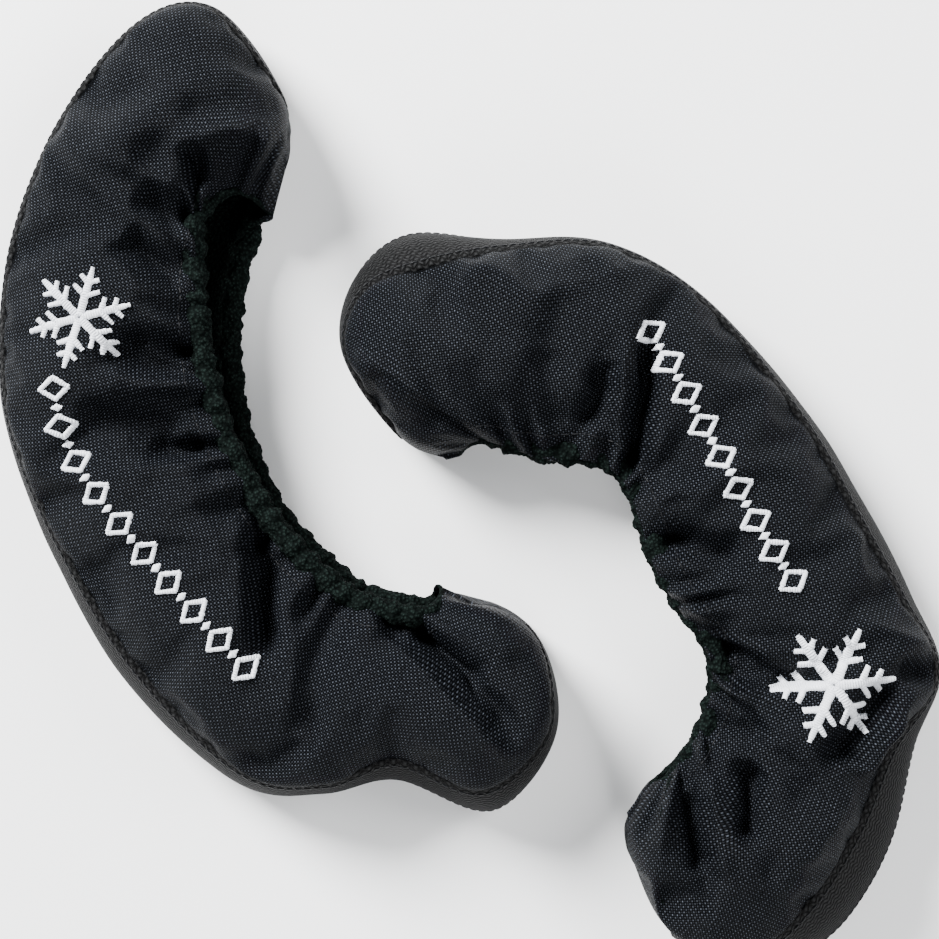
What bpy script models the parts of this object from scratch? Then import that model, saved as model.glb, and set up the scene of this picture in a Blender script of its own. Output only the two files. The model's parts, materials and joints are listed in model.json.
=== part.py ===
"""A pair of soft figure-skate blade guards lying on their sides.

Each guard is a crescent-shaped fabric sleeve: two woven side panels, a ribbed webbing wear strip
round the outer edge, a terry lining, an elastic drawn through a rolled terry cuff at the mouth,
lines of topstitching, and embroidery on the upper side. A guard bends at its waist, so every
full-length piece is in a toe half and a heel half that meet at the bend.

Lengths are in millimetres here, and the meshes are made in metres.
"""

import math

import bmesh
import bpy
import numpy as np
from mathutils import Matrix, Vector
from mathutils.bvhtree import BVHTree

MM = 0.001

# Fabric, in millimetres
PANEL = 1.2
WEBBING = 1.8
LINING = 2.2
EMBROIDERY = 0.8
CUFF_RADIUS = 4.6
CUFF_WALL = 1.2
ELASTIC_WIDTH = 3.2
ELASTIC_THICK = 0.8
THREAD_RADIUS = 0.4
CLEARANCE = 0.4
EMBROIDERY_LIFT = PANEL / 2 + 2 * CLEARANCE + EMBROIDERY / 2
CUFF_STANDOFF = 5.8  # from the middle of the cuff to the edge of the panel

# Heights of the middle of each layer above the surface that the guards lie on
FLOOR = PANEL / 2
TOP = 42.0
SEAM_LOW = 5.0
SEAM_HIGH = 32.0
SEAM_MIDDLE = 18.0
LIP_LOW = 9.0
LIP_HIGH = 29.0
CORNER_RISE = 5.3  # half the height between the two lips at the corners of the mouth

# How the sleeve closes towards its ends, counted in spokes
SPLIT_GAP = 0.012
STRIP_END = 0.95
STRIP_CLOSES_FROM, STRIP_CLOSES_OVER = 0.7, 1.0
LINING_END = 2.8
HEM_STITCH_END = 2.5
CUFF_TRIM = 0.06
MOUTH_OPENS_OVER = 2.5
FULL_WIDTH = 50.0  # an upper spoke this long reaches the full height

LINING_INSET = 4.2
HEM_INSET = 4.5
TUBE_STEP = 12.0
ELASTIC_TURN, ELASTIC_DROP = 5.0, 1.5  # how the elastic goes past a corner of the mouth

# The section's seams, measured in from the outer edge
SEAM_TUCK = 0.8  # both seams where the sleeve is closed at its ends
SEAM_BACK_HIGH, SEAM_BACK_LOW = 2.0, 2.5
SEAM_PAIR_RISE = 1.0  # each seam above or below the middle where the sleeve is closed
STRIP_BULGE = 2.5
CREST_FALL = 1.6  # how roundly the upper panel falls from its crest to the mouth
FOOT_FULL_WIDTH = 31.25  # a lower spoke this long comes down to the surface
HINGE_OUT = 3.0  # from the outer edge to the hinge's axis

STAR_POINTS, STAR_NOTCH = 6, 0.36
DIAMOND_THREAD, DIAMOND_HALF = 0.6, 0.42  # the running thread's half width; shares of the pitch

# Each spoke of a guard, from the toe corner of its mouth to the heel corner: the outer edge (x, y),
# the middle of the mouth (x, y), how far the wear strip leans in over the top, and how far the
# lower lip reaches past the upper one.
GUARDS = {
    "guard_a": {
        "spokes": (
            (-61.5, 104.0, -71.0, 90.0, 0, 2),
            (-64.0, 126.0, -76.5, 87.5, 0, 10),
            (-86.0, 153.5, -79.5, 82.0, 0, 17),
            (-113.0, 148.5, -81.5, 73.0, 0, 14),
            (-140.0, 114.0, -82.5, 60.0, 0, 11),
            (-154.0, 72.0, -82.3, 45.0, 0, 8),
            (-156.5, 34.0, -80.5, 30.0, 1, 6),
            (-153.0, 6.0, -76.0, 13.0, 3, 4),
            (-137.0, -29.0, -67.0, -7.0, 6, 2),
            (-111.0, -69.0, -54.0, -24.0, 6, 2),
            (-78.0, -103.5, -41.0, -35.5, 6, 2),
            (-50.0, -108.0, -33.5, -40.0, 4, 2),
            (-25.0, -104.5, -27.5, -41.5, 8, 2),
            (8.0, -115.0, -21.0, -43.0, 10, 2),
            (28.0, -88.0, -15.5, -43.5, 9, 2),
            (21.0, -55.0, -12.0, -42.0, 3, 2),
            (-4.0, -41.0, -11.0, -38.0, 0, 2),
        ),
        "bend_at": 6.8,
        "emblem": (-127.0, 50.0, 17.0),
        "row": ((-137.0, 34.0), (-131.0, 8.0), (-109.0, -23.0), (-69.0, -68.0)),
        "marks": (2, 8),
        "mark_pitch": 11.0,
    },
    "guard_b": {
        "spokes": (
            (51.5, -114.0, 59.0, -104.5, 0, 0),
            (54.0, -131.0, 65.0, -100.5, 3, 0),
            (67.0, -153.5, 70.0, -94.5, 12, -2),
            (95.0, -167.5, 75.0, -87.0, 18, -3),
            (122.0, -157.0, 78.0, -80.0, 18, -4),
            (141.0, -128.0, 80.0, -73.0, 17, -4),
            (149.5, -95.0, 80.5, -65.0, 11, -4),
            (156.0, -67.0, 78.0, -56.0, 2, -4),
            (147.5, -41.0, 70.5, -46.0, 5, -4),
            (134.0, -13.5, 61.5, -31.0, 6, -4),
            (111.0, 19.0, 56.0, -14.0, 3, -4),
            (79.0, 57.0, 50.0, -1.0, 0, -4),
            (47.0, 76.5, 39.0, 4.5, 0, -3),
            (12.0, 78.5, 26.0, 4.5, 3, -2),
            (-20.0, 81.0, 15.0, 7.0, 12, -1),
            (-38.0, 64.0, 7.5, 9.0, 16, 0),
            (-42.5, 41.0, 2.5, 10.0, 12, 0),
            (-26.0, 14.5, -1.5, 9.0, 3, 0),
            (-9.0, 4.0, -4.5, 5.5, 0, 0),
        ),
        "bend_at": 9.0,
        "emblem": (117.0, -69.0, 20.0),
        "row": ((109.0, -44.0), (93.0, -22.0), (75.0, 13.0), (56.0, 50.0)),
        "marks": (2, 6),
        "mark_pitch": 12.5,
    },
}

COLOURS = {
    "woven_nylon": (0.012, 0.016, 0.024, 0.75),
    "ribbed_webbing": (0.022, 0.022, 0.022, 0.8),
    "terry_cotton": (0.008, 0.016, 0.013, 0.95),
    "elastic": (0.02, 0.02, 0.02, 0.7),
    "white_thread": (0.85, 0.86, 0.88, 0.4),
    "dark_thread": (0.01, 0.01, 0.012, 0.55),
}


def start_empty():
    for old in list(bpy.data.objects):
        bpy.data.objects.remove(old, do_unlink=True)
    collection = bpy.data.collections.new("skate_blade_guards")
    bpy.context.scene.collection.children.link(collection)
    return collection


def make_material(name):
    red, green, blue, roughness = COLOURS[name]
    material = bpy.data.materials.new(name)
    material.use_nodes = True
    shader = material.node_tree.nodes["Principled BSDF"]
    shader.inputs["Base Color"].default_value = (red, green, blue, 1)
    shader.inputs["Roughness"].default_value = roughness
    shader.inputs["Metallic"].default_value = 0
    return material


def smoothstep(x):
    x = min(max(x, 0.0), 1.0)
    return x * x * (3 - 2 * x)


def mix(a, b, share):
    return a + (b - a) * share


def on_curve(points, at):
    """The point and the slope at a place along a Catmull-Rom curve, counted in its points."""
    last = len(points) - 1
    i = min(int(at), last - 1)
    f = at - i
    b, c = points[i], points[i + 1]
    a = points[i - 1] if i else 2 * b - c
    d = points[i + 2] if i + 2 <= last else 2 * c - b
    e1, e2, e3 = c - a, 2 * a - 5 * b + 4 * c - d, 3 * b - a - 3 * c + d
    return b + 0.5 * f * (e1 + f * (e2 + f * e3)), 0.5 * (e1 + f * (2 * e2 + 3 * f * e3))


def inset(profile, by):
    """A section's outline moved by a distance to the left of its direction, mitred at its points."""
    moved = []
    for i, here in enumerate(profile):
        before, after = profile[max(i - 1, 0)], profile[min(i + 1, len(profile) - 1)]
        normals = []
        for start, end in ((before, here), (here, after)):
            along = end - start
            if np.linalg.norm(along) > 0:
                normals.append(np.array((-along[1], along[0])) / np.linalg.norm(along))
        middle = sum(normals) / len(normals)
        moved.append(here + by * middle / max(np.dot(middle, middle), 0.35))
    return moved


def across(along):
    """The level direction across the mouth, towards the outer edge."""
    return np.array((along[1], -along[0]))


def lip_at(guard, at, side):
    """The middle of the upper cuff (side 1) or the lower cuff (side -1), seen from above."""
    place, slope = on_curve(guard["points"], min(max(at, 0.0), len(guard["points"]) - 1.0))
    return place[2:4] + side * across(slope[2:4]) / np.linalg.norm(slope[2:4]) * place[5] / 2


class Spoke:
    """One upright section of a guard, from its outer edge to its mouth."""

    UPPER = (0, 0.04, 0.14, 0.32, 0.6)  # shares of a spoke where the upper panel has its rows
    LOWER = (0, 0.05, 0.14, 0.5)
    CREST = 0.42  # share of a spoke where the upper panel is highest
    FOOT = 0.14  # share of a spoke where the lower panel comes down flat
    STRIP = (0, 0.14, 0.5, 0.86, 1)

    def __init__(self, guard, at):
        place, slope = on_curve(guard["points"], at)
        self.outer, lean = place[0:2], place[4]
        self.tangent = slope[2:4] / np.linalg.norm(slope[2:4])
        self.side = across(self.tangent)
        self.lip = {k: lip_at(guard, at, k) for k in (1, -1)}
        self.edge = {}
        for k in (1, -1):
            along_lip = lip_at(guard, at + 0.1, k) - lip_at(guard, at - 0.1, k)
            self.edge[k] = self.lip[k] + across(along_lip / np.linalg.norm(along_lip)) * CUFF_STANDOFF
        self.length = {k: np.linalg.norm(edge - self.outer) for k, edge in self.edge.items()}

        from_end = min(at, len(guard["points"]) - 1 - at)
        opening = smoothstep(from_end / MOUTH_OPENS_OVER)
        closing = smoothstep((from_end - STRIP_CLOSES_FROM) / STRIP_CLOSES_OVER)
        self.lip_height = {
            1: mix(SEAM_MIDDLE + CORNER_RISE, LIP_HIGH, opening),
            -1: mix(SEAM_MIDDLE - CORNER_RISE, LIP_LOW, opening),
        }
        self.crest = mix(SEAM_MIDDLE + CORNER_RISE, TOP, smoothstep(self.length[1] / FULL_WIDTH))
        self.foot = mix(SEAM_MIDDLE - CORNER_RISE, FLOOR, smoothstep(self.length[-1] / FOOT_FULL_WIDTH))
        self.seam = {
            1: np.array((mix(SEAM_TUCK, lean + SEAM_BACK_HIGH, closing),
                         mix(SEAM_MIDDLE + SEAM_PAIR_RISE, SEAM_HIGH, closing))),
            -1: np.array((mix(SEAM_TUCK, SEAM_BACK_LOW - 0.1 * lean, closing),
                          mix(SEAM_MIDDLE - SEAM_PAIR_RISE, SEAM_LOW, closing))),
        }
        self.bulge = STRIP_BULGE * closing

    def place(self, out, height, side):
        """A point of the section in metres: its distance in from the outer edge, and its height."""
        along = (self.edge[side] - self.outer) / self.length[side]
        x, y = self.outer + along * out
        return Vector((x, y, height)) * MM

    def upper(self):
        start, length = self.seam[1], self.length[1]
        rows = [start[0] + (length - start[0]) * share for share in self.UPPER]
        crest = start[0] + (length - start[0]) * self.CREST
        profile = []
        for out in (*rows, max(length - HEM_INSET, mix(rows[-1], length, 0.5)), length):
            if out < crest:
                fall = (crest - out) / (crest - start[0])
                height = start[1] + (self.crest - start[1]) * math.sqrt(1 - fall * fall)
            else:
                fall = ((out - crest) / (length - crest)) ** CREST_FALL
                height = mix(self.crest, self.lip_height[1], fall)
            profile.append(np.array((out, height)))
        return profile

    def lower(self):
        start, length = self.seam[-1], self.length[-1]
        rows = [start[0] + (length - start[0]) * share for share in self.LOWER]
        profile = []
        for out in rows:
            rise = max(0.0, 1 - (out - start[0]) / (length - start[0]) / self.FOOT)
            height = self.foot + (start[1] - self.foot) * (1 - math.sqrt(1 - rise * rise))
            profile.append(np.array((out, height)))
        turn = max(length - 3 * HEM_INSET, mix(rows[-1], length, 0.3))
        profile.append(np.array((turn, self.foot)))
        profile.append(np.array((mix(turn, length, 0.65), mix(self.foot, self.lip_height[-1], 0.5))))
        profile.append(np.array((length, self.lip_height[-1])))
        return profile

    def strip(self):
        low, high = self.seam[-1], self.seam[1]
        trim = (PANEL / 2 + CLEARANCE) / (high[1] - low[1])
        profile = []
        for share in self.STRIP:
            b = mix(trim, 1 - trim, share)
            profile.append(mix(low, high, b) - np.array((self.bulge * math.sin(math.pi * b), 0)))
        return profile

    def lining(self):
        """The rows of the lining, upper lip to lower lip, each with the side that it lies on."""
        upper, strip, lower = self.upper(), self.strip(), self.lower()
        outline = upper[::-1] + strip[3:0:-1] + lower
        moved = inset(outline, LINING_INSET)
        rows = [(point, 1 if i < len(upper) + 1 else -1) for i, point in enumerate(moved)]
        return [rows[i] for i in (0, 1, 2, 3, 5, 8, 12, 13, 14, 16)]


def finish_piece(piece, material, collection, pivot):
    """Puts the piece's origin on its body's pivot, and its mesh where it was."""
    piece.data.transform(Matrix.Translation(-pivot.location))
    piece.parent = pivot
    piece.data.materials.append(material)
    collection.objects.link(piece)
    return piece


def make_shell(name, rows, thickness, closed=False, offset=0.0):
    """A sheet through rows of points, given its thickness by Solidify."""
    sheet = bmesh.new()
    grid = [[sheet.verts.new(point) for point in row] for row in rows]
    columns = len(rows[0]) if closed else len(rows[0]) - 1
    for near, far in zip(grid, grid[1:]):
        for i in range(columns):
            j = (i + 1) % len(near)
            sheet.faces.new((near[i], near[j], far[j], far[i]))
    bmesh.ops.recalc_face_normals(sheet, faces=sheet.faces)
    mesh = bpy.data.meshes.new(name)
    sheet.to_mesh(mesh)
    sheet.free()
    mesh.shade_smooth()
    piece = bpy.data.objects.new(name, mesh)
    solidify = piece.modifiers.new("thickness", "SOLIDIFY")
    solidify.thickness = thickness * MM
    solidify.offset = offset
    solidify.use_even_offset = True
    return piece


def make_thread(name, points):
    """A line of topstitching, as one thread through the points."""
    curve = bpy.data.curves.new(name, "CURVE")
    curve.dimensions = "3D"
    curve.bevel_depth = THREAD_RADIUS * MM
    curve.bevel_resolution = 0
    curve.use_fill_caps = True
    spline = curve.splines.new("POLY")
    spline.points.add(len(points) - 1)
    for knot, point in zip(spline.points, points):
        knot.co = (*point, 1)
    return bpy.data.objects.new(name, curve)


def make_roll(name, centres, sides=7):
    """A hollow roll of terry round a line of points."""
    rows = []
    for i, centre in enumerate(centres):
        along = (centres[min(i + 1, len(centres) - 1)] - centres[max(i - 1, 0)]).normalized()
        level = along.cross(Vector((0, 0, 1))).normalized()
        up = level.cross(along)
        angles = [2 * math.pi * (k + 0.5) / sides for k in range(sides)]
        rows.append([centre + CUFF_RADIUS * MM * (math.cos(a) * level + math.sin(a) * up) for a in angles])
    return make_shell(name, rows, CUFF_WALL, closed=True, offset=-1.0)


def evenly(points, step):
    """Points a step apart along a line of points, with both its ends."""
    lengths = np.cumsum([0.0] + [(b - a).length for a, b in zip(points, points[1:])])
    count = max(2, round(lengths[-1] / step) + 1)
    coordinates = np.array([tuple(point) for point in points])
    places = np.linspace(0, lengths[-1], count)
    return [Vector(np.interp(place, lengths, coordinates[:, k]) for k in range(3)) for place in places]


def lip_line(guard, stations, side):
    """The middle of the cuff along one lip."""
    spokes = [Spoke(guard, at) for at in stations]
    return [Vector((*spoke.lip[side], spoke.lip_height[side])) * MM for spoke in spokes]


def make_elastic(name, guard, stations):
    """A flat elastic through both cuffs of one half, turning down round the corner of the mouth."""
    ordered = stations if stations[0] > 0 else stations[::-1]
    corner = Spoke(guard, ordered[-1])
    beyond = corner.tangent * (1 if ordered[-1] > ordered[0] else -1) * ELASTIC_TURN
    line = []
    for side, order in ((1, ordered), (-1, ordered[::-1])):
        centres = evenly(lip_line(guard, order, side), TUBE_STEP * MM)
        if side == 1:
            line += [*centres, centres[-1] + Vector((*beyond, -ELASTIC_DROP)) * MM]
        else:
            line += [centres[0] + Vector((*beyond, ELASTIC_DROP)) * MM, *centres]
    rows = []
    outward = Vector((*corner.side, 0))
    for i, point in enumerate(line):
        along = line[min(i + 1, len(line) - 1)] - line[max(i - 1, 0)]
        level = Vector((along.y, -along.x, 0))
        if level.length < 0.5 * along.length:
            level = outward
        level.normalize()
        if level.dot(outward) < 0 and i:
            level.negate()
        half = level * ELASTIC_WIDTH / 2 * MM
        rows.append([point - half, point + half])
        outward = level
    return make_shell(name, rows, ELASTIC_THICK)


def thread_over(guard, stations, row, side, profile_name, outward):
    """Points just over a row of a panel or of the wear strip."""
    points = []
    for at in stations:
        spoke = Spoke(guard, at)
        profile = getattr(spoke, profile_name)()
        out, height = inset(profile, outward)[row]
        points.append(spoke.place(out, height, side))
    return points


def drape(x, y, surface, lift):
    """A point of the embroidery, just above the panel under it, or level with its nearest edge."""
    above = Vector((x, y, 2 * TOP)) * MM
    hit = surface.ray_cast(above, Vector((0, 0, -1)))[0]
    height = (hit or surface.find_nearest(above - Vector((0, 0, TOP * MM)))[0]).z
    return Vector((above.x, above.y, height + lift * MM))


def make_emblem(name, guard, surface):
    """A plain six-armed star, as an embroidered patch on the upper panel."""
    x, y, radius = guard["emblem"]
    star = bmesh.new()
    bmesh.ops.create_circle(star, cap_ends=True, cap_tris=True, radius=radius, segments=2 * STAR_POINTS)
    for vertex in star.verts:
        angle = math.atan2(vertex.co.y, vertex.co.x)
        if vertex.co.length > 0.5 * radius and round(angle / (math.pi / STAR_POINTS)) % 2:
            vertex.co *= STAR_NOTCH
    bmesh.ops.subdivide_edges(star, edges=star.edges, cuts=2, use_grid_fill=True)
    for vertex in star.verts:
        vertex.co = drape(x + vertex.co.x, y + vertex.co.y, surface, EMBROIDERY_LIFT)
    mesh = bpy.data.meshes.new(name)
    star.to_mesh(mesh)
    star.free()
    piece = bpy.data.objects.new(name, mesh)
    solidify = piece.modifiers.new("thickness", "SOLIDIFY")
    solidify.thickness = EMBROIDERY * MM
    solidify.offset = 0
    return piece


def make_row(name, guard, surface, count, towards):
    """A row of diamond marks joined by a running thread, on one side of the bend."""
    places = np.linspace(0, len(guard["row_points"]) - 1, 120)
    line = evenly([Vector((*on_curve(guard["row_points"], at)[0], 0)) for at in places], 1.0)
    outer, inner = guard["bend_line"]
    normal = Vector((outer[1] - inner[1], inner[0] - outer[0]))
    sides = [normal.dot(Vector((point.x - outer[0], point.y - outer[1]))) > 0 for point in line]
    bend = next(i for i in range(1, len(line)) if sides[i] != sides[0])
    steps_per_mark = round(guard["mark_pitch"])
    rows = []
    for step in range(1, count * steps_per_mark):
        i = min(max(bend + towards * step, 1), len(line) - 2)
        along = (line[i + 1] - line[i - 1]).normalized()
        level = Vector((-along.y, along.x, 0))
        phase = step / steps_per_mark % 1
        rise = max(0.0, 1 - abs(phase - 0.5) / DIAMOND_HALF)
        half = DIAMOND_THREAD + DIAMOND_HALF * guard["mark_pitch"] * rise
        if phase in (0, 0.5) or step % 2:
            ends = [line[i] + level * half * k for k in (-1, 0, 1)]
            rows.append([drape(end.x, end.y, surface, EMBROIDERY_LIFT) for end in ends])
    return make_shell(name, rows, EMBROIDERY)


def add_guard(name, guard, collection, materials):
    guard["points"] = np.array(guard["spokes"], float)
    guard["row_points"] = np.array(guard["row"], float)
    last = len(guard["points"]) - 1
    bend = Spoke(guard, guard["bend_at"])
    inward = bend.edge[1] - bend.outer
    hinge = bend.outer - inward / np.linalg.norm(inward) * HINGE_OUT
    guard["bend_line"] = (bend.outer, bend.edge[1])

    pivots = {}
    for half in ("toe", "heel"):
        pivot = bpy.data.objects.new(f"{name}_{half}", None)
        pivot.location = Vector((*hinge, 0)) * MM
        collection.objects.link(pivot)
        pivots[half] = pivot

    def add(piece, material, half):
        return finish_piece(piece, materials[material], collection, pivots[half])

    def stations(start, end, per_spoke):
        return list(np.linspace(start, end, max(2, round((end - start) * per_spoke) + 1)))

    halves = {
        "toe": (0.0, guard["bend_at"] - SPLIT_GAP),
        "heel": (guard["bend_at"] + SPLIT_GAP, float(last)),
    }
    upper_panels = []
    for half, (start, end) in halves.items():
        whole = stations(start, end, 2)
        strip = stations(max(start, STRIP_END), min(end, last - STRIP_END), 2)
        lined = stations(max(start, LINING_END), min(end, last - LINING_END), 2)
        for side, layer, profile in ((1, "upper", "upper"), (-1, "lower", "lower")):
            rows = [[spoke.place(*point, side) for point in getattr(spoke, profile)()]
                    for spoke in (Spoke(guard, at) for at in whole)]
            panel = add(make_shell(f"{name}_{layer}_panel_{half}", rows, PANEL), "woven_nylon", half)
            if side == 1:
                upper_panels.append((panel, rows))
            rolled = stations(start and start + CUFF_TRIM, end if end == last else end - CUFF_TRIM, 2)
            lips = evenly(lip_line(guard, rolled, side), TUBE_STEP * MM)
            add(make_roll(f"{name}_{layer}_cuff_{half}", lips), "terry_cotton", half)
        rows = [[spoke.place(*point, 1) for point in spoke.strip()]
                for spoke in (Spoke(guard, at) for at in strip)]
        add(make_shell(f"{name}_wear_strip_{half}", rows, WEBBING), "ribbed_webbing", half)
        rows = [[spoke.place(*point, side) for point, side in spoke.lining()]
                for spoke in (Spoke(guard, at) for at in lined)]
        add(make_shell(f"{name}_lining_{half}", rows, LINING), "terry_cotton", half)
        add(make_elastic(f"{name}_elastic_{half}", guard, whole), "elastic", half)
        over_strip = WEBBING / 2 + 2 * CLEARANCE + THREAD_RADIUS
        over_panel = PANEL / 2 + 2 * CLEARANCE + THREAD_RADIUS
        for layer, row in (("upper", -2), ("lower", 1)):
            points = thread_over(guard, strip, row, 1, "strip", over_strip)
            add(make_thread(f"{name}_strip_stitch_{layer}_{half}", points), "dark_thread", half)
        hemmed = stations(max(start, HEM_STITCH_END), min(end, last - HEM_STITCH_END), 2)
        points = thread_over(guard, hemmed, -2, 1, "upper", over_panel)
        add(make_thread(f"{name}_hem_stitch_{half}", points), "dark_thread", half)

    corners, faces = [], []
    for _, rows in upper_panels:
        for near, far in zip(rows, rows[1:]):
            for i in range(len(near) - 1):
                faces.append([len(corners) + k for k in range(4)])
                corners += [near[i], near[i + 1], far[i + 1], far[i]]
    surface = BVHTree.FromPolygons(corners, faces)
    add(make_emblem(f"{name}_emblem", guard, surface), "white_thread", "toe")
    for half, count, towards in (("toe", guard["marks"][0], -1), ("heel", guard["marks"][1], 1)):
        row = make_row(f"{name}_stitched_row_{half}", guard, surface, count, towards)
        add(row, "white_thread", half)
    return list(pivots.values())


def centre_pair(collection, pivots):
    """Moves the pair so that the middle of its box stands over the origin."""
    bpy.context.view_layer.update()
    depsgraph = bpy.context.evaluated_depsgraph_get()
    corners = []
    for piece in collection.objects:
        if piece.type != "EMPTY":
            whole = piece.evaluated_get(depsgraph)
            corners += [whole.matrix_world @ Vector(corner) for corner in whole.bound_box]
    low, high = (np.array([limit(c[k] for c in corners) for k in range(3)]) for limit in (min, max))
    middle = (low + high) / 2
    for pivot in pivots:
        pivot.location -= Vector((middle[0], middle[1], 0))
    bpy.context.view_layer.update()


def main():
    collection = start_empty()
    materials = {name: make_material(name) for name in COLOURS}
    pivots = []
    for name, guard in GUARDS.items():
        pivots += add_guard(name, guard, collection, materials)
    bpy.context.view_layer.update()
    centre_pair(collection, pivots)


main()
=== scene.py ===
"""The look of a pair of soft skate blade guards lying on their sides.

Each guard gets a woven skin that is folded and then wrinkled by a cloth simulation, ribbed
webbing round its outer edge, a gathered terry cuff and lining, topstitching, and satin-stitch
embroidery. Lengths are in millimetres here, and the meshes are made in metres.
"""

import json
import math

import bpy
import numpy as np
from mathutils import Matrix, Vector, noise
from mathutils.bvhtree import BVHTree


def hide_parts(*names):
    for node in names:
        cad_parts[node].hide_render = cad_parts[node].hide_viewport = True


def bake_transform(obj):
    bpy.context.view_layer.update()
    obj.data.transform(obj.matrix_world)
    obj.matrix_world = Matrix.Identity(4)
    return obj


MM = 0.001

# Heights of the skin above the surface that the guards lie on
FLOOR = 0.7
TOP = 41.0
SEAM_LOW = 5.0
SEAM_HIGH = 32.0
SEAM_MIDDLE = 18.0
LIP_LOW = 9.0
LIP_HIGH = 29.5
CORNER_RISE = 5.3
FULL_WIDTH = 50.0
FOOT_FULL_WIDTH = 31.25

CUFF_RADIUS = 3.9
SKIN = 0.7
WEBBING = 1.2
LINING_IN = 2.6
WEAVE_PITCH = 0.82  # from one yarn to the next
HINGE_OUT = 3.0  # from the outer edge to the joint's axis
BEND_REACH = 45.0  # how far the bend spreads each way along the cloth

PER_SPOKE = 12  # stations of the skin in each gap between spokes
UPPER_ROWS, STRIP_ROWS, LOWER_ROWS = 36, 12, 26
REFINED = 2  # points of the finished skin for each one of the simulated cloth

# Unevenness of the upper panel: height, then how far apart the swellings are
PUFF, PUFF_APART = 3.4, 26
RIPPLE, RIPPLE_APART = 1.3, 11
# The elastic's gathers: how far apart, then height, distance from the mouth and reach
GATHERS_APART = 11.0
UPPER_GATHER, UPPER_GATHER_AT, UPPER_GATHER_REACH = 2.8, 9, 11
LOWER_GATHER, LOWER_GATHER_AT, LOWER_GATHER_REACH = 0.9, 6, 7

CLOTH_GROWTH, CLOTH_FRAMES, CLOTH_SHIFT_MOST = 0.05, 26, 7.0
CLOTH_ENLARGED = 10.0  # the simulation behaves better on a larger cloth

# Topstitching: from one stitch to the next, a stitch's length and its thread's radius
STRIP_STITCH = (3.0, 2.3, 0.26)
HEM_STITCH = (3.2, 2.4, 0.26)
HEM_ROW = 9

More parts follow.
